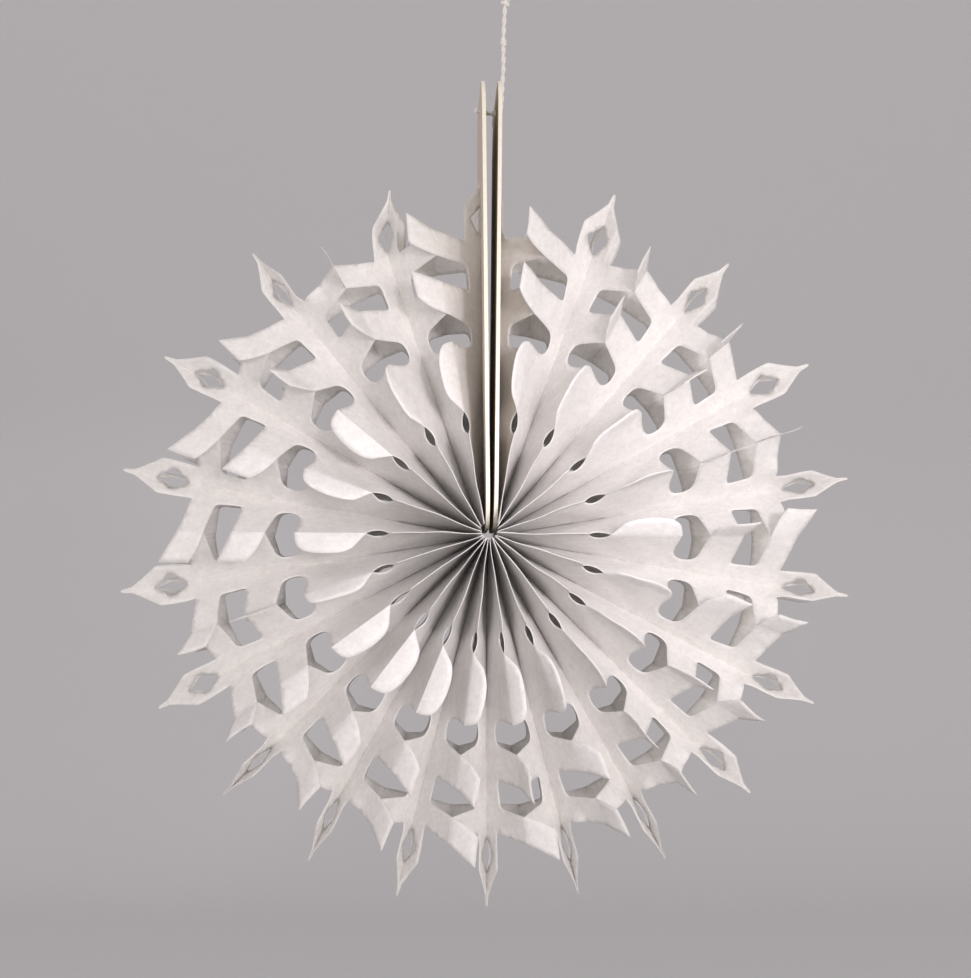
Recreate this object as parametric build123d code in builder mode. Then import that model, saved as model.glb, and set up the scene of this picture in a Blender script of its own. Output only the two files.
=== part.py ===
# Hanging paper rosette: forty die-cut leaves opened like a fan into a full circle
# between two card end strips, hung on a cotton string.
#
# Millimetres and degrees. The rosette stands upright in the XZ plane. It is seen from
# in front along +Y, and +Z is up. The origin is where a hook carries the hanging loop.
#
# Every leaf is one flat sheet, cut like a fir branch and folded along three lines. Its
# stem is glued to one neighbour, and its front and rear edge strips are glued to the
# other neighbour, so that pairs of leaves make hollow diamond cells. Leaves are
# numbered clockwise from the right card.

import os
from math import atan2, cos, radians, sin, sqrt, tan

from build123d import *

# The opened fan
cell_count = 20
hub_radius = 4.0
spread_angle = 9.4  # the cells hang open wider at the top than at the bottom
ripple_angle = 1.1
pull_angle = 0.9  # the cards pull the first spoke on each side this much closer
pull_decay_ratio = 0.25
turn_angle = 0.6  # the upper spokes sit this far clockwise
flattest_fold_ratio = 0.98  # a leaf never opens wider than this share of its folded width

# How far each cell's free flaps have tipped over anticlockwise, from the right card round
flap_lean_angles = [40, 15, 10, 0, 60, 32, 27, 12, 33, 60, 60, 40, 42, 33, 35, 60, 60, 60, 35, 60]

# The leaf's flat pattern, outward from the hub. Lengths run along the spoke, and heights
# and distances are measured from the crease and from the spoke line.
paper_thickness = 0.3
cut_allowance = 1.0  # how far the uncut sheet reaches past the pattern
leaf_half_depth = 54.5
crease_distance = 38.0

inner_fin_length = 47.8
slit_slope = 2.2
slit_length = 7.8
slit_depth = 2.2
petal_rise_length = 22.0
petal_crown = 12.4
petal_fall_length = 17.2
petal_tip = 8.3

heart_lobe_step = 0.5
heart_lobe_distance = 22.5
heart_side_slope = 2.6
heart_side_length = 7.4
heart_side_distance = 16.2
heart_point_length = 5.7

inner_flap_slope = 11.6
inner_flap_width = 14.6
inner_flap_undercut = 7.2
window_step = 3.0  # the window's inner corner lies this much nearer the hub than the flap
window_stem_distance = 12.8
window_length = 14.6
window_slope = 3.1

outer_flap_slope = 8.1
outer_flap_width = 16.0
outer_flap_undercut = 9.2
spear_step = 4.9  # the spear's base lies this much nearer the hub than the flap

spear_base_distance = 12.6
spear_belly_length = 19.4
spear_widest = 14.2
spear_taper_length = 15.3
spear_neck = 1.2
spear_tail_length = 5.7
spear_hole_margin = 4.0
spear_hole_inner_length = 9.0
spear_hole_outer_length = 7.4
spear_hole_half_width = 8.7

# The card end strips
card_thickness = 2.0
card_length = 241.0
card_corner_radius = 26.0
card_half_gap_at_hub = 1.0
card_opening_angle = 0.6
string_hole_radius = 2.4
string_hole_margin = 9.0  # from the card's top edge to the hole's centre

# The string
string_diameter = 2.2
hub_offset = -9.0  # the hub hangs this far to the side of the hanging loop
hub_drop = 318.0
loop_half_width = 4.6
loop_foot = 21.0
loop_foot_half_width = 1.2
loop_top_flat = 0.1  # the short straight stretch that lies on the hook
loop_knot_drop = 23.0
loop_knot_size = (3.1, 2.7, 3.6)
string_knot_drop = 46.3
string_knot_offset = -1.1
string_knot_size = (1.9, 1.9, 2.8)
string_straight_rise = 9.0  # from the hole, where the string runs down along the card
string_soft_radius = 70.0
string_bend_radius = 2.5
string_card_clearance = 0.35
string_slant = 2.0  # the crossing climbs this much from the right card to the left
stop_knot_size = (1.5, 1.9, 1.9)
tie_knot_size = (0.9, 2.3, 2.3)
tie_knot_rise = 0.4
tail_diameter = 1.4
tail_length = 6.5
tail_lean = 0.3
knot_clearance = 0.05
knot_chamfer_ratio = 0.3

hub = Vector(hub_offset, 0, -hub_drop)

inner_fin_end = hub_radius + inner_fin_length
slit_start = inner_fin_end + slit_slope
slit_middle = slit_start + slit_length / 2
slit_end = slit_start + slit_length
petal_crown_radius = slit_end + petal_rise_length
petal_tip_radius = petal_crown_radius + petal_fall_length
heart_lobe_radius = petal_tip_radius + heart_lobe_step
heart_side_start = heart_lobe_radius + heart_side_slope
heart_side_end = heart_side_start + heart_side_length
heart_point_radius = heart_side_end + heart_point_length
inner_flap_start = heart_point_radius + inner_flap_slope
inner_flap_tip = inner_flap_start + inner_flap_width
inner_flap_crease = inner_flap_tip - inner_flap_undercut
window_inner_radius = inner_flap_crease - window_step
window_corner_radius = window_inner_radius + window_length
window_crease = window_corner_radius + window_slope
outer_flap_start = window_crease + outer_flap_slope
outer_flap_tip = outer_flap_start + outer_flap_width
outer_flap_crease = outer_flap_tip - outer_flap_undercut
spear_base_radius = outer_flap_crease - spear_step
spear_widest_radius = spear_base_radius + spear_belly_length
spear_neck_radius = spear_widest_radius + spear_taper_length
spear_tip_radius = spear_neck_radius + spear_tail_length
spear_hole_start = spear_base_radius + spear_hole_margin
spear_hole_widest_radius = spear_hole_start + spear_hole_inner_length
spear_hole_end = spear_hole_widest_radius + spear_hole_outer_length

card_outer_distance = card_half_gap_at_hub + card_thickness
hole_from_hub = card_length - string_hole_margin


def outward(angle):
    return Vector(sin(radians(angle)), 0, cos(radians(angle)))


def clockwise(angle):
    return Vector(cos(radians(angle)), 0, -sin(radians(angle)))


def spoke_angle(number):
    """Angle of a spoke, clockwise from straight up. Spokes 0 and 20 are the cards' outer faces."""
    if number == 0:
        return card_opening_angle
    if number == cell_count:
        return 360 - card_opening_angle
    even = 360 / cell_count * number
    from_card = min(number, cell_count - number)
    side = 1 if even < 180 else -1
    pull = 0 if even == 180 else side * pull_angle * pull_decay_ratio ** (from_card - 1)
    spread = spread_angle * sin(radians(even)) - ripple_angle * sin(radians(2 * even))
    return even + spread - pull + turn_angle * (1 + cos(radians(even))) / 2


def radial_offset(angle):
    """Sideways distance of a radial plane from the hub, which makes room for the cards."""
    from_card = (angle - card_opening_angle) / (180 - card_opening_angle)
    return card_outer_distance * (1 - from_card)


class Leaf:
    """Where the points of one leaf's flat pattern lie once the fan is open."""

    fold_radii = [hub_radius, slit_middle, window_corner_radius, outer_flap_crease]

    def __init__(self, number):
        spoke = number // 2
        cell = (number - 1) // 2
        self.angle = spoke_angle(spoke)
        self.middle = (spoke_angle(cell) + spoke_angle(cell + 1)) / 2
        self.side = 1 if number % 2 else -1  # 1 where the glued strips face clockwise
        self.opening = radians(self.side * (self.middle - self.angle))
        self.flap_lean = radians(flap_lean_angles[cell % len(flap_lean_angles)])
        self.clockwise = clockwise(self.angle)
        self.origin = hub + self.clockwise * radial_offset(self.angle)
        self.side_plane = Plane(
            origin=self.origin, x_dir=outward(self.angle), z_dir=self.clockwise
        )

    def fold_depth(self, radius):
        """How far the crease stands in front of the middle of the fan at one of the fold radii."""
        offset_change = abs(radial_offset(self.angle) - radial_offset(self.middle))
        width = 2 * radius * sin(self.opening / 2) - offset_change
        return sqrt(crease_distance**2 - min(width, flattest_fold_ratio * crease_distance) ** 2)

    def ridge_depth(self, radius):
        """Depth of the crease, which runs straight from each fold radius to the next."""
        steps = list(zip(self.fold_radii, self.fold_radii[1:]))
        start, end = next((step for step in steps if radius <= step[1]), steps[-1])
        share = (radius - start) / (end - start)
        return (1 - share) * self.fold_depth(start) + share * self.fold_depth(end)

    def lean(self, radius):
        """How far a glued strip has tipped over. The strips beside the hub stand straight."""
        return self.flap_lean if radius >= slit_middle else 0

    def cut_point(self, radius, distance):
        """A point of the flat pattern, seen square on to the closed leaf."""
        toward_ridge = self.side * sin(self.opening)
        ridge_radius = radius * cos(self.opening) - radial_offset(self.middle) * toward_ridge
        if distance > crease_distance:
            strip = distance - crease_distance
            tipped = strip * sin(self.lean(radius)) * toward_ridge
            height = self.ridge_depth(radius) + strip * cos(self.lean(radius))
            return (ridge_radius + tipped, height)
        share = distance / crease_distance
        fold = min(radius, window_corner_radius) if distance <= spear_widest else radius
        return ((1 - share) * radius + share * ridge_radius, self.ridge_depth(fold) * share)

    def stem(self, radius):
        """A point of the fold along the spoke, on the sheet's anticlockwise face."""
        thickness = 0 if self.side > 0 else paper_thickness
        return self.origin + outward(self.angle) * radius - self.clockwise * thickness

    def ridge(self, radius):
        """A point of the crease beside a glued strip, on the sheet's anticlockwise face."""
        place = hub + clockwise(self.middle) * radial_offset(self.middle)
        place += outward(self.middle) * radius
        place += Vector(0, -self.ridge_depth(radius), 0)
        thickness = paper_thickness if self.side > 0 else 0
        return place - self.clockwise * thickness

    def panels(self):
        """The flat panels of the front half, as lists of corners."""
        strip = leaf_half_depth - crease_distance + cut_allowance
        facets = []
        strips = []
        for start, end in zip(self.fold_radii, self.fold_radii[1:]):
            last = end == self.fold_radii[-1]
            reach = spear_tip_radius + cut_allowance if last else end
            facets.append([self.stem(start), self.stem(reach), self.ridge(start)])
            facets.append([self.stem(reach), self.ridge(end), self.ridge(start)])
            lean = self.lean(start)
            rise = Vector(0, -cos(lean), 0) - clockwise(self.middle) * sin(lean)
            near, far = self.ridge(start), self.ridge(reach)
            strips.append([near, far, far + rise * strip, near + rise * strip])
        return facets + strips

    def outline(self):
        """The front half of the die-cut edge, from the hub to the spear's tip."""
        edge = leaf_half_depth
        crease = crease_distance
        pattern = [
            (hub_radius, edge),
            (inner_fin_end, edge),
            (slit_start, crease),
            (slit_middle, crease - slit_depth),
            (slit_end, crease),
            (petal_crown_radius, crease + petal_crown),
            (petal_tip_radius, crease + petal_tip),
            (heart_lobe_radius, heart_lobe_distance),
            (heart_side_start, heart_side_distance),
            (heart_side_end, heart_side_distance),
            (heart_point_radius, crease),
            (inner_flap_start, edge),
            (inner_flap_tip, edge),
            (inner_flap_crease, crease),
            (window_inner_radius, window_stem_distance),
            (window_corner_radius, window_stem_distance),
            (window_crease, crease),
            (outer_flap_start, edge),
            (outer_flap_tip, edge),
            (outer_flap_crease, crease),
            (spear_base_radius, spear_base_distance),
            (spear_widest_radius, spear_widest),
            (spear_neck_radius, spear_neck),
        ]
        return [self.cut_point(*place) for place in pattern]

    def spear_hole(self):
        """The leaf-shaped hole in the spear."""
        radius, depth = self.cut_point(spear_hole_widest_radius, spear_hole_half_width)
        return [(spear_hole_start, 0), (radius, depth), (spear_hole_end, 0), (radius, -depth)]

    def build(self):
        """Folds the sheet from its panels, then cuts it to the pattern."""
        front = self.outline()
        rear = [(radius, -depth) for radius, depth in reversed(front)]
        whole_width = 2 * leaf_half_depth
        with BuildPart() as leaf:
            for corners in self.panels():
                panel = Face(Wire.make_polygon(corners, close=True))
                extrude(panel, amount=paper_thickness, dir=self.clockwise)
            mirror(about=Plane.XZ)
            with BuildSketch(self.side_plane):
                with BuildLine():
                    Polyline(*front, (spear_tip_radius, 0), *rear, close=True)
                make_face()
                with BuildLine():
                    Polyline(*self.spear_hole(), close=True)
                make_face(mode=Mode.SUBTRACT)
            extrude(amount=whole_width, both=True, mode=Mode.INTERSECT)
        return leaf


def build_card(side):
    """One card strip, edge on to the viewer. The side is 1 for the right card."""
    along = outward(side * card_opening_angle)
    across = clockwise(side * card_opening_angle) * side
    origin = hub + across * card_half_gap_at_hub
    with BuildPart() as card:
        with BuildSketch(Plane(origin=origin, x_dir=along, z_dir=across)):
            with Locations((card_length / 2, 0)):
                Rectangle(card_length, 2 * leaf_half_depth)
            corners = vertices().group_by(Axis.Z)[-1]
            fillet(corners, card_corner_radius)
            with Locations((hole_from_hub, 0)):
                Circle(string_hole_radius, mode=Mode.SUBTRACT)
        extrude(amount=card_thickness)
    return card


def build_knot(centre, size, *cords):
    """A pulled-tight knot, as a lump with broken edges that closes round the cords."""
    width, depth, height = size
    with BuildPart() as knot:
        with Locations(centre):
            Box(2 * width, 2 * depth, 2 * height)
        chamfer(edges(), knot_chamfer_ratio * min(size))
        for cord in cords:
            add(cord.part, mode=Mode.SUBTRACT)
    return knot


def build_tube(points, radii, diameter):
    """A round cord along straight runs joined by tangent arcs of the given radii."""
    if radii:
        print("bend radii", [round(radius, 2) for radius in radii])
    with BuildPart() as tube:
        with BuildLine() as path:
            if radii:
                FilletPolyline(*points, radius=radii)
            else:
                Line(*points)
        with BuildSketch(Plane(origin=path.line @ 0, z_dir=path.line % 0)):
            Circle(diameter / 2)
        sweep()
    return tube


def build_string_pieces():
    """The string from the hanging loop down through both cards, with its knots and tail."""
    string_radius = string_diameter / 2
    hole_z = hub.Z + hole_from_hub
    card_spread = card_half_gap_at_hub + hole_from_hub * tan(radians(card_opening_angle))
    right_inner = hub.X + card_spread
    string_x = right_inner + card_thickness + string_radius + string_card_clearance
    left_outer = hub.X - card_spread - card_thickness
    stop_x = left_outer - stop_knot_size[0] - knot_clearance
    crossing_low = hole_z - string_slant / 2
    crossing_high = hole_z + string_slant / 2

    loop_points = [
        (loop_foot_half_width, 0, -loop_foot),
        (loop_half_width, 0, string_radius),
        (-loop_half_width, 0, string_radius),
        (-loop_foot_half_width, 0, -loop_foot),
    ]
    side_slope = atan2(loop_half_width - loop_foot_half_width, loop_foot + string_radius)
    top_radius = (loop_half_width - loop_top_flat / 2) / tan(radians(45) + side_slope / 2)
    hang_loop = build_tube(loop_points, [top_radius, top_radius], string_diameter)

    loop_knot_place = (0, 0, -loop_knot_drop)
    string_knot_place = (string_knot_offset, 0, -string_knot_drop)
    stop_knot_place = (stop_x, 0, crossing_high)
    string_points = [
        loop_knot_place,
        string_knot_place,
        (string_x, 0, hole_z + string_straight_rise),
        (string_x, 0, crossing_low),
        stop_knot_place,
    ]
    string_radii = [string_soft_radius, string_soft_radius, string_bend_radius]
    string = build_tube(string_points, string_radii, string_diameter)

    tie_x = right_inner - tie_knot_size[0] - knot_clearance
    tie_place = (tie_x, 0, crossing_low + tie_knot_rise)
    tail_top = (tie_x, 0, crossing_low - string_radius - knot_clearance)
    tail_end = (tie_x - tail_lean, 0, crossing_low - string_radius - tail_length)
    string_tail = build_tube([tail_top, tail_end], [], tail_diameter)

    return {
        "hang_loop": hang_loop,
        "string": string,
        "string_tail": string_tail,
        "loop_knot": build_knot(loop_knot_place, loop_knot_size, string, hang_loop),
        "string_knot": build_knot(string_knot_place, string_knot_size, string),
        "stop_knot": build_knot(stop_knot_place, stop_knot_size, string),
        "tie_knot": build_knot(tie_place, tie_knot_size, string, string_tail),
    }


def write(piece, label):
    piece.part.label = label
    export_step(piece.part, f"parts/{label}.step")


def main():
    os.makedirs("parts", exist_ok=True)
    for number in range(1, 2 * cell_count + 1):
        write(Leaf(number).build(), f"leaf_{number:02d}")
    write(build_card(1), "card_right")
    write(build_card(-1), "card_left")
    for label, piece in build_string_pieces().items():
        write(piece, label)


main()
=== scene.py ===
# Hanging paper rosette: forty die-cut paper leaves, two card end strips and a cotton
# string. Metres, except for the leaf's flat pattern and the folding, which are in
# millimetres and degrees, as on the die-cutter's drawing.

from math import cos, pi, radians, sin

import bpy
import numpy as np
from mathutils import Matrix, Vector
from mathutils.geometry import delaunay_2d_cdt


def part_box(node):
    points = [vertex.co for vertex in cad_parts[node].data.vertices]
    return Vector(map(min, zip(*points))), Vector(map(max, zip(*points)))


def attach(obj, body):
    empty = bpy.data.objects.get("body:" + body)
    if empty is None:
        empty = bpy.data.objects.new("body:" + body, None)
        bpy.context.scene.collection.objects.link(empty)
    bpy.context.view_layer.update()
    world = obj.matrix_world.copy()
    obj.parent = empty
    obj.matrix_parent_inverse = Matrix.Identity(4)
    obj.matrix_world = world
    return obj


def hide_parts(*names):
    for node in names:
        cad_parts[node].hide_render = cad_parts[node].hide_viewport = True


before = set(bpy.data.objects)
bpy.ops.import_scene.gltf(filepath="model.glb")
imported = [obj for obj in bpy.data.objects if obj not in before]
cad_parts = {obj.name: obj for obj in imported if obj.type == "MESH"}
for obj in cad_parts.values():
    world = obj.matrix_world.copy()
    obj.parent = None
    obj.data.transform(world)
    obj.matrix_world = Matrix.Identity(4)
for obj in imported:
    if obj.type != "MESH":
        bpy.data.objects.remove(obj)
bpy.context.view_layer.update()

MM = 0.001

# A mesh edge that turns by more than this angle is sharp
sharp_edge_angle = 28

# The hub, from where the two cards meet
left_low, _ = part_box("card_left")
right_low, right_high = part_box("card_right")
hub = np.array([(left_low.x + right_high.x) / 2, 0, right_low.z]) / MM

# The opened fan, and how far its spokes have sunk toward the bottom, where they stand closer
# together than at the top
cell_count = 20
spread_angle = 9.4
ripple_angle = 1.1

# How far the cards pull the next spokes toward them, and the share left at each spoke further
pull_angle = 0.9
pull_decay_ratio = 0.25

# How far the whole fan has turned and settled
turn_angle = 0.6
settled = np.array([-1.4, 0, -1.6])

# How the cards stand: their angle from straight up, and their outer faces' distance from
# the hub's middle
card_opening_angle = 0.6
card_outer_distance = 3.0

# How far each cell's petals, inner flaps and outer flaps have tipped over anticlockwise,
# the share of that which the crease takes, and the share that the flap curls by beyond it
petal_leans = [30, 25, 24, 6, 48, 19, 10, 7, 29, 44, 50, 65, 78, 78, 40, 67, 54, 77, 29, 46]
inner_leans = [38, 13, -12, -6, 22, 37, 11, 8, 41, 21, 43, 53, 58, 57, 8, 78, 71, 26, 25, 62]
outer_leans = [50, 17, 9, 1, 62, 34, 25, 11, 32, 70, 63, 39, 38, 30, 34, 84, 68, 52, 6, 54]
crease_share = 0.82
curl_share = 0.36

# How far the lean varies along the inner strip and along the flaps, over what length, and
# how far the two glued sheets of a flap lean apart
strip_waviness = 2.0
flap_waviness = 4.0
lean_wave_length = 60
parting_lean = 0.3

# How far the panels between the creases bulge, over what length, how much the waves slant
# across the panel, and the radii over which they rise
panel_bulge = 0.7
bulge_wave_length = 75
bulge_slant = 0.6
bulge_radii = (8, 60)

# How wide each spear stands open, spokes 0 to 20: its half's angle from the middle of the
# fan, in front and behind, and how far both halves are turned clockwise
front_open = [8, 42, 33, 42, 29, 31, 29, 30, 16, 16, 20, 24, 18, 17, 38, 48, 42, 42, 28, 30, 44]
rear_open = [8, 36, 32, 30, 20, 22, 15, 15, 9, 9, 12, 12, 12, 10, 30, 18, 15, 18, 15, 25, 24]
front_turn = [0, -8, 0, -4, 0, -9, -6, -10, 0, 0, -2, -6, 0, 0, -1, 4, 6, 3, -9, -8, 0]
rear_turn = [0, 24, 22, 5, 4, 4, 0, 0, 0, 0, 0, 0, 0, 0, 0, 0, 0, 0, 0, 20, 0]

# The narrowest that a spear's half stands open, and where a leaf passes into its spear: the
# radii, and the distances from the spoke line
narrowest_spear = 1.5
spear_radii = (152, 167)
spear_reaches = (13.5, 24)

# How far each spear's tip is bent aside, clockwise, and drawn in toward the hub
tip_shift = [0, 0, 1.2, 2.2, 0, -1.5, -2.8, -2.0, 1.3, 0, 0]
tip_shift += [-1.5, -2.5, 0, -1, 1.8, 1.3, -2.2, 2.2, 13.5, 2]
tip_drawn_in = [0, 0, 0, 0, 0, 0, 0, 0, 0, 0, 0, 0, 0, 0, 0, 0, 0, 0, 0, 4.0, 0]

# Where that bend starts, how steadily it grows, and the distances over which it fades
tip_bend_start = 157
tip_bend_power = 1.3
tip_bend_reaches = (18, 30)

# How far each cell's rear ridge is drawn in toward the hub, compared with its front ridge,
# and the shares of that by which the front ridge moves out and the rear ridge moves in
drawn_in = [3.2, 3.4, 2.6, 4.2, 1.5, 0, 0, 0, 0, 0, 0, 0, 0, 0, 0, 0, 1, 1, 3, 2]
front_slip_share = 0.25
rear_slip_share = -0.75

# The radii over which this slip rises, and over which it falls off again by a share
slip_rise_radii = (20, 90)
slip_fall_radii = (118, 150)
slip_fall_share = 0.6

# The leaf's flat pattern: radius from the hub, and distance from the spoke line
leaf_half_depth = 54.5
crease_distance = 38.0
hub_radius = 4.0
crease_end = 166
spear_tip = 201.3
paper_thickness = 0.14

# The radii that part the inner strip, the petal, the inner flap and the outer flap
flaps_start = 57.5
petal_end = 110
inner_flap_end = 149
outer_flap_end = 190

# Half the distance between the middles of two glued sheets
glue_half_gap = 0.075

# The flattest that a fold opens: the sine of its panels' angle from the closed fan's plane
flattest_fold_ratio = 0.98

# The sheet's mesh: how far apart its points lie on edges, folds and panels, how much longer
# a curve is than its chord, and how close the grid may come to an edge and to a fold
point_spacing = 1.3
fold_spacing = point_spacing * 1.5
grid_spacing = 2.6
curve_over_chord = 1.1
edge_clearance = grid_spacing * 0.55
fold_clearance = grid_spacing * 0.5
merge_distance = 1e-4
smallest_triangle = 1e-3

# The string: its strands, which overlap a little and vary in thickness, and its frayed end
strand_count = 2
twisted_diameter = 2.5
twist_pitch = 11.0
strand_fullness = 1.16
strand_unevenness = 0.03
strand_wave_length = 8
strand_offset_share = 0.88
twisted_spacing = 0.45
cord_sides = 10
fibre_count = 9
fibre_radius = 0.26
fibre_sides = 6


def line(start, end):
    """Points from one place to the next, without the last."""
    steps = max(1, round(np.hypot(end[0] - start[0], end[1] - start[1]) / point_spacing))
    share = np.arange(steps)[:, None] / steps
    return np.array(start) + share * (np.array(end) - np.array(start))


def bend(start, control, end):
    """Points along a curve that leaves start toward the control and comes to end from it."""
    start, control, end = map(np.array, (start, control, end))
    steps = max(2, round(np.hypot(*(end - start)) * curve_over_chord / point_spacing))
    share = np.arange(steps)[:, None] / steps
    return (1 - share) ** 2 * start + 2 * share * (1 - share) * control + share**2 * end


def die_cut_edge():
    """The front half of the leaf's outline, from the hub to the spear's tip."""
    edge, crease = leaf_half_depth, crease_distance
    stretches = [
        # The hub's end and the inner strip
        line((hub_radius, 0), (hub_radius, edge)),
        line((hub_radius, edge), (51.2, edge)),
        bend((51.2, edge), (52.6, 46.0), (52.8, crease)),
        # The slit
        bend((52.8, crease), (57.6, crease - 13.0), (64.4, crease)),
        # The petal
        bend((64.4, crease), (68.0, crease + 4.6), (71.0, crease + 8.4)),
        bend((71.0, crease + 8.4), (75.6, crease + 12.3), (85.0, crease + 12.3)),
        bend((85.0, crease + 12.3), (92.5, crease + 12.3), (97.2, crease + 10.4)),
        bend((97.2, crease + 10.4), (100.8, crease + 8.8), (101.5, crease + 6.0)),
        bend((101.5, crease + 6.0), (102.4, crease + 3.0), (102.6, crease)),
        # The heart-shaped opening
        line((102.6, crease), (100.8, 26.0)),
        bend((100.8, 26.0), (99.8, 13.2), (107.0, 12.6)),
        bend((107.0, 12.6), (113.0, 12.4), (114.5, 18.8)),
        line((114.5, 18.8), (118.0, crease)),
        # The inner flap
        bend((118.0, crease), (121.8, 50.0), (128.7, edge)),
        line((128.7, edge), (143.3, edge)),
        bend((143.3, edge), (139.3, 46.0), (136.1, crease)),
        # The window
        line((136.1, crease), (133.4, 16.0)),
        bend((133.4, 16.0), (133.1, 12.5), (135.7, 12.6)),
        line((135.7, 12.6), (144.5, 13.2)),
        bend((144.5, 13.2), (147.1, 13.4), (147.9, 16.0)),
        line((147.9, 16.0), (150.8, crease)),
        # The outer flap
        bend((150.8, crease), (153.9, 49.0), (158.9, edge)),
        line((158.9, edge), (174.9, edge)),
        bend((174.9, edge), (169.7, 46.0), (165.7, crease)),
        # The outer flap's inner edge and the spear
        line((165.7, crease), (160.8, 12.6)),
        bend((160.8, 12.6), (170.0, 14.6), (179.4, 14.4)),
        bend((179.4, 14.4), (180.8, 14.3), (182.0, 12.9)),
        bend((182.0, 12.9), (189.6, 6.0), (194.8, 2.2)),
        bend((194.8, 2.2), (198.2, 1.4), (spear_tip, 0.8)),
    ]
    return np.vstack(stretches)


def spear_hole():
    """The leaf-shaped hole in the spear: round toward the hub, and pointed outward."""
    start, widest, end, half_width = 164.8, 174.4, 182.0, 9.0
    front = [
        bend((start, 0), (start + 3.0, half_width * 0.55), (widest, half_width)),
        bend((widest, half_width), (widest + 3.2, half_width * 0.45), (end, 0)),
    ]
    front = np.vstack(front)
    return np.vstack([front, [[end, 0]], front[:0:-1] * [1, -1]])


def inside(points, polygon):
    """Which of the points lie inside the closed polygon."""
    found = np.zeros(len(points), bool)
    x, y = points.T
    for (x0, y0), (x1, y1) in zip(polygon, np.roll(polygon, -1, axis=0)):
        crosses = (y0 > y) != (y1 > y)
        if crosses.any():
            found[crosses] ^= x[crosses] < (x1 - x0) * (y[crosses] - y0) / (y1 - y0) + x0
    return found


def flat_sheet():
    """One leaf laid flat: its points and its triangles."""
    front = die_cut_edge()
    outline = np.vstack([front, [[spear_tip, 0]], front[:0:-1] * [1, -1]])
    hole = spear_hole()
    folds = []
    for distance in (-crease_distance, 0, crease_distance):
        end = crease_end if distance else spear_tip
        radii = np.arange(hub_radius, end, fold_spacing)
        folds.append(np.column_stack([radii, np.full(len(radii), distance)]))

    rows = np.arange(-leaf_half_depth, leaf_half_depth, grid_spacing * sin(pi / 3))
    columns = np.arange(0, spear_tip, grid_spacing)
    grid = [
        (column + grid_spacing / 2 * (index % 2), row)
        for index, row in enumerate(rows)
        for column in columns
    ]
    grid = np.array(grid)
    keep = inside(grid, outline) & ~inside(grid, hole)
    border = np.vstack([outline, hole])
    for fixed in border:
        keep &= np.hypot(*(grid - fixed).T) > edge_clearance
    for distance in (-crease_distance, 0, crease_distance):
        keep &= np.abs(grid[:, 1] - distance) > fold_clearance
    grid = grid[keep]

    points, edges = [], []
    for loop, closed in ((outline, True), (hole, True), *((fold, False) for fold in folds)):
        first = len(points)
        points.extend(loop)
        count = len(loop)
        edges += [(first + i, first + i + 1) for i in range(count - 1)]
        if closed:
            edges.append((first + count - 1, first))
    points.extend(grid)
    flat_points = [Vector(point) for point in points]
    made = delaunay_2d_cdt(flat_points, edges, [], 0, merge_distance)
    points = np.array([tuple(point) for point in made[0]])
    triangles = np.array(made[2])
    corners = points[triangles]
    middles = corners.mean(axis=1)
    first, second = corners[:, 1] - corners[:, 0], corners[:, 2] - corners[:, 0]
    area = np.abs(first[:, 0] * second[:, 1] - first[:, 1] * second[:, 0]) / 2
    keep = inside(middles, outline) & ~inside(middles, hole) & (area > smallest_triangle)
    triangles = triangles[keep]
    used = np.unique(triangles)
    renumber = np.zeros(len(points), int)
    renumber[used] = np.arange(len(used))
    return points[used], renumber[triangles]


def outward(angle):
    """Unit vector away from the hub, at an angle clockwise from straight up."""
    return np.array([sin(radians(angle)), 0, cos(radians(angle))])


def clockwise(angle):
    """Unit vector square to the outward one, on its clockwise side."""
    return np.array([cos(radians(angle)), 0, -sin(radians(angle))])


def spoke_angle(number):
    """Angle of a spoke, clockwise from straight up. Spokes 0 and 20 lie on the cards."""
    if number == 0:
        return card_opening_angle
    if number == cell_count:
        return 360 - card_opening_angle
    even = 360 / cell_count * number
    from_card = min(number, cell_count - number)
    side = 1 if even < 180 else -1
    pull = 0 if even == 180 else side * pull_angle * pull_decay_ratio ** (from_card - 1)
    spread = spread_angle * sin(radians(even)) - ripple_angle * sin(radians(2 * even))
    return even + spread - pull + turn_angle * (1 + cos(radians(even))) / 2


def radial_offset(angle):
    """Sideways distance of a radial plane from the hub, which makes room for the cards."""
    from_card = (angle - card_opening_angle) / (180 - card_opening_angle)
    return card_outer_distance * (1 - from_card)


def settling(number):
    """How far the fan has settled at a spoke. The cards keep it from moving aside there."""
    from_card = min(number, cell_count - number, 1)
    return settled * [from_card, 0, 1]


def smooth_step(low, high, values):
    """Rises from 0 at low to 1 at high, level at both ends."""
    share = np.clip((values - low) / (high - low), 0, 1)
    return share * share * (3 - 2 * share)


def waves(seed, values, length):
    """A gentle random curve along the given values, between about -1 and 1."""
    frequencies, highest_sum = (1, 2.3), 1.4
    draw = np.random.default_rng(seed)
    total = 0
    for octave in frequencies:
        phase, stretch = draw.uniform(0, 2 * pi), draw.uniform(0.8, 1.25)
        total = total + np.sin(values / length * octave * stretch * 2 * pi + phase) / octave
    return total / highest_sum


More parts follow.
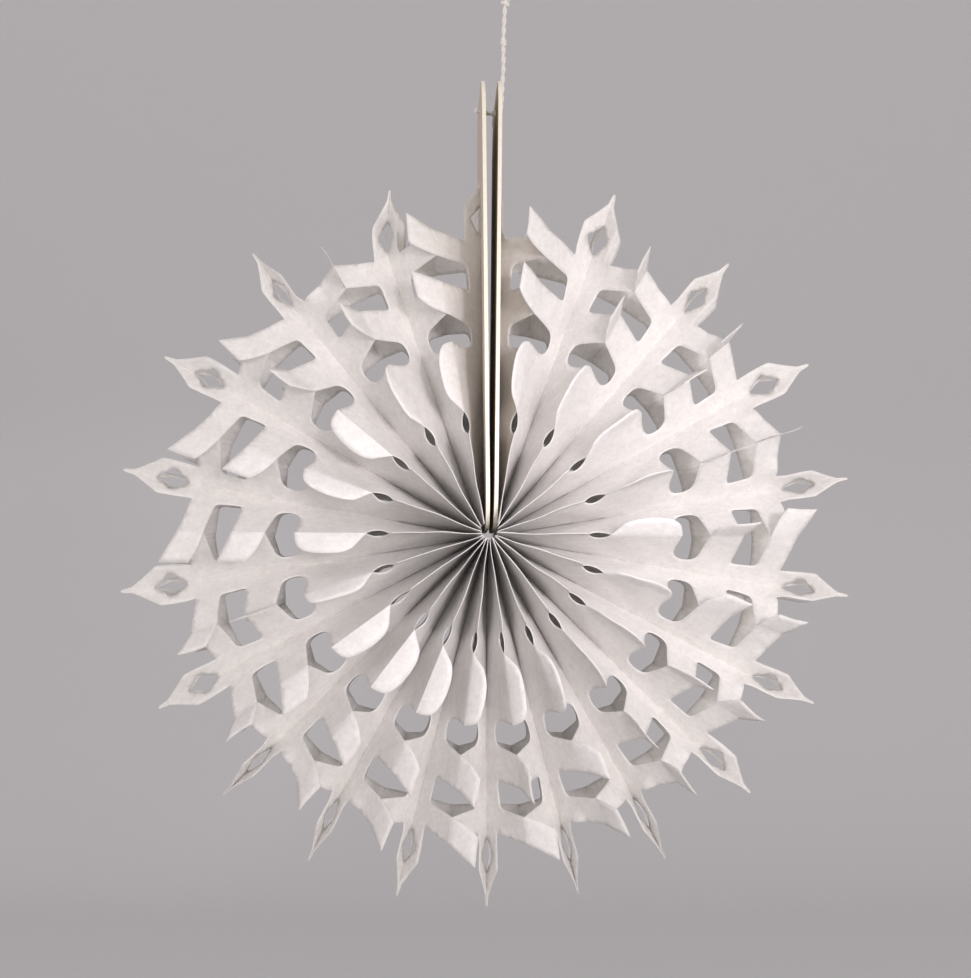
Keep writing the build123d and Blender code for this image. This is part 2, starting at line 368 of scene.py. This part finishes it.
def fold(number, flat):
    """Where the points of one flat leaf lie once the fan is open, in millimetres."""
    spoke, cell = number // 2, (number - 1) // 2
    side = 1 if number % 2 else -1
    bulge_seed, lean_seed = number * 7 + 1, cell * 3 + 500
    shortest_chord, straightest_curl = 0.01, 1e-5
    angle = spoke_angle(spoke)
    middle = (spoke_angle(cell) + spoke_angle(cell + 1)) / 2
    out, across = outward(angle), clockwise(angle)
    middle_across = clockwise(middle)
    stem_origin = hub + across * radial_offset(angle) + settling(spoke)
    ridge_origin = hub + middle_across * radial_offset(middle) + settling(cell + 0.5)

    radius, distance = flat[:, 0], flat[:, 1]
    front = np.where(distance < 0, -1.0, 1.0)
    reach = np.minimum(np.abs(distance), crease_distance)
    forward = front[:, None] * np.array([0, -1, 0])

    # How far the rear ridge has slipped in, and the front ridge out
    slip = drawn_in[cell] * smooth_step(*slip_rise_radii, radius)
    slip = slip * (1 - slip_fall_share * smooth_step(*slip_fall_radii, radius))
    slip = slip * np.where(front > 0, front_slip_share, rear_slip_share)

    # How far the panels stand open: as the ridge's distance asks, or in the spear by its own
    chord = ridge_origin - stem_origin + radius[:, None] * (outward(middle) - out)
    length = np.maximum(np.hypot(chord[:, 0], chord[:, 2]), shortest_chord)
    toward_ridge = chord / length[:, None]
    opening = np.arcsin(np.minimum(length / crease_distance, flattest_fold_ratio))
    open_angles = np.where(front > 0, front_open[spoke], rear_open[spoke])
    open_angles = open_angles + side * np.where(front > 0, front_turn[spoke], rear_turn[spoke])
    spear = smooth_step(*spear_radii, radius) * (1 - smooth_step(*spear_reaches, reach))
    opening = (1 - spear) * opening + spear * np.radians(np.maximum(open_angles, narrowest_spear))

    # The panels' soft bulge between their creases
    bulge_place = np.sin(reach / crease_distance * pi)
    bulge = waves(bulge_seed, radius + bulge_slant * distance, bulge_wave_length)
    bulge = bulge * panel_bulge * bulge_place
    bulge = bulge * smooth_step(*bulge_radii, radius) * (1 - spear)

    # Out along the spoke, and from there along the panel to the crease
    panel = np.sin(opening)[:, None] * toward_ridge + np.cos(opening)[:, None] * forward
    panel_normal = np.cos(opening)[:, None] * toward_ridge - np.sin(opening)[:, None] * forward
    place = stem_origin + radius[:, None] * out + reach[:, None] * panel
    place = place + (slip * reach / crease_distance)[:, None] * outward(middle)
    place = place + bulge[:, None] * panel_normal

    # The spear's tip bends aside
    along_tip = (radius - tip_bend_start) / (spear_tip - tip_bend_start)
    bent = np.clip(along_tip, 0, 1) ** tip_bend_power
    bent = bent * (1 - smooth_step(*tip_bend_reaches, reach))
    place = place + bent[:, None] * (tip_shift[spoke] * across - tip_drawn_in[spoke] * out)

    # Glued sheets keep clear of each other, at the stem and at the ridge
    stem_share = (1 - reach / crease_distance)[:, None]
    place = place + side * glue_half_gap * (stem_share * across - (1 - stem_share) * middle_across)

    # Past the crease, the edge strip tips over and curls
    strip = np.maximum(np.abs(distance) - crease_distance, 0)
    lean = np.zeros(len(flat))
    for low, high, leans in (
        (flaps_start, petal_end, petal_leans),
        (petal_end, inner_flap_end, inner_leans),
        (inner_flap_end, outer_flap_end, outer_leans),
    ):
        lean = np.where((radius > low) & (radius <= high), leans[cell], lean)
    waviness = np.where(radius < flaps_start, strip_waviness, flap_waviness)
    lean = lean + waviness * waves(lean_seed, radius, lean_wave_length)
    lean = lean + np.where(radius > flaps_start, parting_lean * side, 0)
    strip_width = leaf_half_depth - crease_distance
    start = np.radians(lean * crease_share)
    curl = np.radians(lean * curl_share) / strip_width
    curl = np.where(np.abs(curl) < straightest_curl, straightest_curl, curl)
    tipped = start + curl * strip
    sideways = (np.cos(start) - np.cos(tipped)) / curl
    rise = (np.sin(tipped) - np.sin(start)) / curl
    place = place - sideways[:, None] * middle_across + rise[:, None] * forward
    return place


def mesh_piece(name, points, faces, material, replaces):
    """Makes a piece from points in millimetres, riding on the part's only body."""
    mesh = bpy.data.meshes.new(name)
    faces = [list(map(int, face)) for face in faces]
    mesh.from_pydata((np.asarray(points) * MM).tolist(), [], faces)
    mesh.polygons.foreach_set("use_smooth", np.ones(len(mesh.polygons), bool))
    mesh.set_sharp_from_angle(angle=radians(sharp_edge_angle))
    mesh.materials.append(material)
    piece = bpy.data.objects.new(name, mesh)
    bpy.context.scene.collection.objects.link(piece)
    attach(piece, "root")
    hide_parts(*replaces)
    return piece


class Nodes:
    """A material's node tree, with short ways to add and link nodes."""

    def __init__(self, name):
        self.material = bpy.data.materials.new(name)
        self.material.use_nodes = True
        self.tree = self.material.node_tree
        self.tree.nodes.clear()
        self.output = self.add("ShaderNodeOutputMaterial")

    def add(self, kind, inputs=None, **settings):
        """A new node, with its inputs set or linked and its settings made."""
        node = self.tree.nodes.new(kind)
        for name, value in settings.items():
            setattr(node, name, value)
        for name, value in (inputs or {}).items():
            self.fill(node.inputs[name], value)
        return node

    def fill(self, socket, value):
        """Links a socket to another node's socket, or sets it to a plain value."""
        if isinstance(value, bpy.types.NodeSocket):
            self.tree.links.new(value, socket)
        else:
            socket.default_value = value

    def place(self):
        return self.add("ShaderNodeTexCoord").outputs["Object"]

    def noise(self, scale, detail, roughness, vector=None, distortion=0.0):
        inputs = {
            "Vector": vector or self.place(),
            "Scale": scale,
            "Detail": detail,
            "Roughness": roughness,
            "Distortion": distortion,
        }
        return self.add("ShaderNodeTexNoise", inputs).outputs["Fac"]

    def ramp(self, factor, *stops):
        node = self.add("ShaderNodeValToRGB", {"Fac": factor})
        elements = node.color_ramp.elements
        while len(elements) < len(stops):
            elements.new(0.5)
        for element, (position, colour) in zip(elements, stops):
            element.position = position
            element.color = (*colour, 1)
        return node.outputs["Color"]

    def math(self, operation, first, second=0.0):
        node = self.add("ShaderNodeMath", operation=operation)
        for socket, value in zip(node.inputs, (first, second)):
            self.fill(socket, value)
        return node.outputs[0]

    def mix(self, factor, first, second, blend="MIX"):
        """Mixes two colours, whose sockets come after those of the other kinds of value."""
        node = self.add("ShaderNodeMix", data_type="RGBA", blend_type=blend)
        for index, value in ((0, factor), (6, first), (7, second)):
            self.fill(node.inputs[index], value)
        return node.outputs[2]

    def bump(self, height, strength, distance):
        inputs = {"Height": height, "Strength": strength, "Distance": distance}
        return self.add("ShaderNodeBump", inputs).outputs["Normal"]

    def finish(self, shader):
        self.tree.links.new(shader.outputs[0], self.output.inputs["Surface"])
        return self.material


def paper_material():
    """White fibrous paper that lets some light through."""
    light_let_through = 0.2
    strand_strength = 0.3
    nodes = Nodes("white_paper")
    place = nodes.place()
    clouds = nodes.noise(150, 5, 0.62, place)
    patches = nodes.noise(420, 4, 0.65, place, distortion=0.6)
    strands = nodes.noise(520, 4, 0.6, place, distortion=2.0)
    strands = nodes.math("ABSOLUTE", nodes.math("SUBTRACT", strands, 0.5))
    strands = nodes.ramp(strands, (0.0, (1, 1, 1)), (0.035, (0, 0, 0)))
    strands = nodes.math("MULTIPLY", strands, strand_strength)
    tint = nodes.ramp(clouds, (0.32, (0.90, 0.88, 0.855)), (0.68, (0.975, 0.96, 0.935)))
    patch_tint = nodes.ramp(patches, (0.36, (0.92, 0.92, 0.92)), (0.6, (1.0, 1.0, 1.0)))
    colour = nodes.mix(1.0, tint, patch_tint, "MULTIPLY")
    colour = nodes.mix(strands, colour, (0.95, 0.945, 0.935, 1))
    broad, fine = nodes.math("MULTIPLY", clouds, 0.8), nodes.math("MULTIPLY", patches, 0.3)
    height = nodes.math("ADD", broad, fine)
    normal = nodes.bump(height, 0.5, 0.0008)
    surface = nodes.add(
        "ShaderNodeBsdfPrincipled",
        {"Base Color": colour, "Roughness": 0.6, "Specular IOR Level": 0.3, "Normal": normal},
    )
    through = nodes.add("ShaderNodeBsdfTranslucent", {"Color": colour, "Normal": normal})
    both = nodes.add("ShaderNodeMixShader", {"Fac": light_let_through})
    nodes.tree.links.new(surface.outputs[0], both.inputs[1])
    nodes.tree.links.new(through.outputs[0], both.inputs[2])
    return nodes.finish(both)


def card_material():
    """Pressed board with cream cut edges, whose side faces are painted a darker tan as painted
    shade.
    """
    face_threshold = 0.7
    nodes = Nodes("card_board")
    normal = nodes.add("ShaderNodeNewGeometry").outputs["Normal"]
    facing = nodes.add("ShaderNodeSeparateXYZ", {"Vector": normal}).outputs["X"]
    # Faces that point sideways get a darker tan than the cream edges: painted shade
    side_face_painted_shade = nodes.math("GREATER_THAN", nodes.math("ABSOLUTE", facing), face_threshold)
    flecks = nodes.noise(400, 4, 0.7)
    shaded_tan_face = nodes.ramp(flecks, (0.35, (0.60, 0.53, 0.44)), (0.7, (0.72, 0.65, 0.55)))
    cream = nodes.ramp(flecks, (0.3, (0.82, 0.77, 0.62)), (0.7, (0.9, 0.86, 0.74)))
    colour = nodes.mix(side_face_painted_shade, cream, shaded_tan_face)
    bump = nodes.bump(nodes.noise(900, 3, 0.6), 0.3, 0.0004)
    shader = nodes.add(
        "ShaderNodeBsdfPrincipled",
        {"Base Color": colour, "Roughness": 0.8, "Normal": bump},
    )
    return nodes.finish(shader)


def route_line(name, points):
    """Points along a smooth cord route, from control points. Both are in millimetres."""
    curve = bpy.data.curves.new(name, "CURVE")
    curve.dimensions = "3D"
    curve.resolution_u = 16
    spline = curve.splines.new("NURBS")
    spline.points.add(len(points) - 1)
    for point, place in zip(spline.points, points):
        point.co = (*(value * MM for value in place), 1)
    spline.order_u = 3
    spline.use_endpoint_u = True
    seat = bpy.data.objects.new(name, curve)
    made = bpy.data.meshes.new_from_object(seat)
    route = np.array([tuple(vertex.co) for vertex in made.vertices]) / MM
    bpy.data.objects.remove(seat)
    return route


def frames_along(points):
    """Unit directions along a line of points, and two directions square to each."""
    along = np.gradient(points, axis=0)
    along /= np.linalg.norm(along, axis=1)[:, None]
    aside = np.cross(along, [0, 1, 0])
    aside /= np.linalg.norm(aside, axis=1)[:, None]
    return along, aside, np.cross(along, aside)


def even_steps(points, step):
    """The same line with evenly spaced points, and how far along it each of them lies."""
    travelled = np.r_[0, np.cumsum(np.linalg.norm(np.diff(points, axis=0), axis=1))]
    places = np.linspace(0, travelled[-1], max(8, round(travelled[-1] / step)))
    even = np.column_stack([np.interp(places, travelled, column) for column in points.T])
    return even, places


def tube(points, radii, sides):
    """Rings of points and faces of a round tube with closed ends."""
    _, aside, upward = frames_along(points)
    turns = np.arange(sides) / sides * 2 * pi
    around = aside[:, None] * np.cos(turns)[:, None] + upward[:, None] * np.sin(turns)[:, None]
    rings = points[:, None] + around * np.broadcast_to(radii, len(points))[:, None, None]
    places = rings.reshape(-1, 3)
    count = len(points)
    first = np.arange(count - 1)[:, None] * sides
    side = np.arange(sides)
    next_side = (side + 1) % sides
    near = [first + side, first + next_side]
    far = [first + sides + next_side, first + sides + side]
    faces = np.stack(near + far, axis=-1).reshape(-1, 4).tolist()
    faces.append(list(range(sides))[::-1])
    faces.append(list(range((count - 1) * sides, count * sides)))
    return places, faces


def joined(pieces):
    """Several sets of points and faces as one."""
    places, faces, start = [], [], 0
    for some_places, some_faces in pieces:
        places.append(some_places)
        faces += [[start + corner for corner in face] for face in some_faces]
        start += len(some_places)
    return np.vstack(places), faces


def twisted(points):
    """Strands twisted round a line of points. They press into each other a little."""
    points, travelled = even_steps(points, twisted_spacing)
    _, aside, upward = frames_along(points)
    strand_radius, first_seed = twisted_diameter / 4, 900
    pieces = []
    for strand in range(strand_count):
        turn = travelled / twist_pitch * 2 * pi + strand / strand_count * 2 * pi
        offset = aside * np.cos(turn)[:, None] + upward * np.sin(turn)[:, None]
        uneven = strand_unevenness * waves(strand + first_seed, travelled, strand_wave_length)
        radius = strand_radius * (strand_fullness + uneven)
        middle = points + offset * (strand_radius * strand_offset_share)
        pieces.append(tube(middle, radius, cord_sides))
    return joined(pieces)


def knot(centre, size, thickness):
    """A pulled-tight knot: cord wound round the string, with one pass across the front.

    The size is the knot's half width, half depth and half height.
    """
    turns, steps = 1.5, 56
    share = np.linspace(0, 1, steps)
    turn = share * turns * 2 * pi
    width, depth, height = (half - thickness / 2 for half in size)
    bulge = 0.8 + 0.2 * np.sin(share * pi)
    winding = np.column_stack(
        [
            width * bulge * np.cos(turn),
            -depth * bulge * np.sin(turn),
            height * (2 * share - 1),
        ]
    )
    share = np.linspace(-1, 1, 20)
    across = np.column_stack(
        [
            width * 0.55 * share,
            -(depth + 0.1) * np.cos(share * 1.2),
            -height * 0.9 * share,
        ]
    )
    radius = thickness / 2 * (1 + 0.06 * np.sin(np.linspace(0, 25, steps)))
    first = tube(winding + centre, radius, cord_sides)
    second = tube(across + centre, thickness * 0.46, cord_sides)
    return joined([first, second])


def string_material():
    """White cotton."""
    nodes = Nodes("cotton_string")
    fuzz = nodes.noise(1500, 3, 0.6)
    colour = nodes.ramp(fuzz, (0.3, (0.74, 0.71, 0.66)), (0.7, (0.88, 0.86, 0.82)))
    shader = nodes.add(
        "ShaderNodeBsdfPrincipled",
        {
            "Base Color": colour,
            "Roughness": 0.85,
            "Sheen Weight": 0.3,
            "Normal": nodes.bump(fuzz, 0.5, 0.0004),
        },
    )
    return nodes.finish(shader)


def box_centre(name):
    """Middle of a node's box, in millimetres."""
    low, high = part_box(name)
    return np.array((low + high) / 2) / MM


def build_string(cotton):
    """The two-strand string with its loop, knots and frayed end."""
    stop_place = box_centre("stop_knot")
    tail_low, tail_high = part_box("string_tail")
    hole_z = stop_place[2] - 1
    right_side = right_high.x / MM

    loop_route = [(1.2, 0, -21), (3.0, 0, -10), (4.4, 0, -1.5), (1.6, 0, 1.4)]
    loop_route += [(-1.6, 0, 1.4), (-4.4, 0, -1.5), (-3.0, 0, -10), (-1.2, 0, -21)]
    string_route = [
        (0, 0, -23),
        (-0.7, 0, -35),
        (-1.1, 0, -44),
        (-1.1, 0, -49),
        (-1.0, 0, -60),
        (right_side + 1.6, 0, hole_z + 12),
        (right_side + 1.4, 0, hole_z + 3),
        (right_side - 0.6, 0, hole_z - 1.0),
        (right_side - 5.0, 0, hole_z - 0.6),
        tuple(stop_place),
    ]
    for name, size, thickness in (
        ("loop_knot", (2.9, 2.5, 3.3), 2.2),
        ("string_knot", (1.9, 1.9, 2.7), 2.4),
        ("stop_knot", (1.4, 1.8, 1.7), 1.4),
        ("tie_knot", (0.9, 1.8, 1.8), 1.1),
    ):
        places, faces = knot(box_centre(name), size, thickness)
        mesh_piece(f"tied_{name}", places, faces, cotton, [name])

    top = np.array([tail_high.x, 0, tail_high.z]) / MM
    fibres = []
    draw = np.random.default_rng(5)
    length = (tail_high.z - tail_low.z) / MM
    share = np.linspace(0, 1, 9)[:, None]
    for _ in range(fibre_count):
        spread = draw.uniform(-0.55, 0.55, 2)
        end = np.array([spread[0] - 0.3, spread[1], -length * draw.uniform(0.82, 1.0)])
        start = np.array([draw.uniform(-0.3, 0.3) - 0.7, draw.uniform(-0.3, 0.3), 0.4])
        curl = np.array([draw.uniform(-0.3, 0.3), draw.uniform(-0.3, 0.3), 0])
        points = top + start + share * end + np.sin(share * pi) * curl
        fibres.append(tube(points, fibre_radius * (1 - 0.6 * share[:, 0]), fibre_sides))
    places, faces = joined(fibres)
    tail = mesh_piece("frayed_tail", places, faces, cotton, ["string_tail"])

    line = route_line("string_route", string_route)
    places, faces = twisted(line)
    string = mesh_piece("twisted_string", places, faces, cotton, ["string"])

    line = route_line("loop_route", loop_route)
    places, faces = twisted(line)
    loop = mesh_piece("twisted_loop", places, faces, cotton, ["hang_loop"])


def aimed(name, data, place, aim=(0, 0, 0)):
    """A camera or lamp at a place, turned toward an aim. Both are in metres from the hub."""
    hub_place = Vector(hub * MM)
    seat = bpy.data.objects.new(name, data)
    seat.location = hub_place + Vector(place)
    toward = hub_place + Vector(aim) - seat.location
    seat.rotation_euler = toward.to_track_quat("-Z", "Y").to_euler()
    bpy.context.scene.collection.objects.link(seat)
    return seat


def build_camera():
    """The photograph's view: a long lens a little below the hub."""
    view_distance, focal_pixels, frame_height, sensor_width = 1.04, 1905, 978, 36
    camera = bpy.data.cameras.new("camera")
    camera.sensor_width = sensor_width
    camera.lens = sensor_width * focal_pixels / frame_height
    camera.clip_start = 0.05
    seat = aimed("camera", camera, (-0.0317, -view_distance, -0.0427), (-0.002, 0, 0.0232))
    bpy.context.scene.camera = seat


def area_light(name, place, size, power, colour):
    """A soft round lamp that shines on the hub."""
    lamp = bpy.data.lights.new(name, "AREA")
    lamp.shape = "DISK"
    lamp.size = size
    lamp.energy = power
    lamp.color = colour
    aimed(name, lamp, place)


def hub_light(place, aim, cone, power, colour):
    """A soft cone of light on the fan's middle."""
    lamp = bpy.data.lights.new("hub_light", "SPOT")
    lamp.spot_size = radians(cone)
    lamp.spot_blend = 1
    lamp.shadow_soft_size = 0.12
    lamp.energy = power
    lamp.color = colour
    aimed("hub_light", lamp, place, aim)


def build_stage():
    """A pale floor that sweeps up into a pale wall, with soft light, most of it from the right."""
    floor_z, wall_y, sweep = -0.78, 2.4, 0.8
    front_y, top_z, half_width = -4.0, 3.0, 4.0
    profile = [(front_y, floor_z), (wall_y - sweep, floor_z)]
    profile += [
        (wall_y - sweep + sweep * sin(turn), floor_z + sweep - sweep * cos(turn))
        for turn in np.linspace(0.1, pi / 2, 16)
    ]
    profile.append((wall_y, top_z))
    points = [(x, y, z) for y, z in profile for x in (-half_width, half_width)]
    faces = [(2 * i, 2 * i + 1, 2 * i + 3, 2 * i + 2) for i in range(len(profile) - 1)]
    mesh = bpy.data.meshes.new("backdrop")
    mesh.from_pydata(points, [], faces)
    mesh.polygons.foreach_set("use_smooth", np.ones(len(mesh.polygons), bool))
    nodes = Nodes("pale_backdrop")
    shader = nodes.add(
        "ShaderNodeBsdfPrincipled", {"Base Color": (0.64, 0.64, 0.65, 1), "Roughness": 0.95}
    )
    mesh.materials.append(nodes.finish(shader))
    backdrop = bpy.data.objects.new("backdrop", mesh)
    bpy.context.scene.collection.objects.link(backdrop)

    area_light("key_light", (1.0, -1.9, -0.1), 0.7, 10, (1.0, 0.955, 0.9))
    area_light("front_light", (-0.05, -2.3, 0.1), 0.5, 6, (1.0, 0.95, 0.93))
    area_light("fill_light", (-0.9, -2.0, 0.9), 2.0, 5, (1.0, 0.95, 0.97))
    hub_light((0.45, -1.6, 0.1), (0.028, 0, 0.008), 12.5, 95, (0.98, 0.92, 1.0))

    room_colour, room_strength = (1.0, 0.945, 0.95, 1), 0.65
    world = bpy.data.worlds.new("soft_room")
    bpy.context.scene.world = world
    world.use_nodes = True
    background = world.node_tree.nodes["Background"]
    background.inputs["Color"].default_value = room_colour
    background.inputs["Strength"].default_value = room_strength
    bpy.context.scene.view_settings.view_transform = "Standard"


build_camera()
build_stage()

paper = paper_material()
card = card_material()
cotton = string_material()

flat, triangles = flat_sheet()
for number in range(1, 2 * cell_count + 1):
    name = f"leaf_{number:02d}"
    piece = mesh_piece(f"paper_{name}", fold(number, flat), triangles, paper, [name])
    sheet = piece.modifiers.new("thickness", "SOLIDIFY")
    sheet.thickness = paper_thickness * MM
    sheet.offset = 0

for name in ("card_right", "card_left"):
    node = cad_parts[name]
    node.data.materials.clear()
    node.data.materials.append(card)

build_string(cotton)
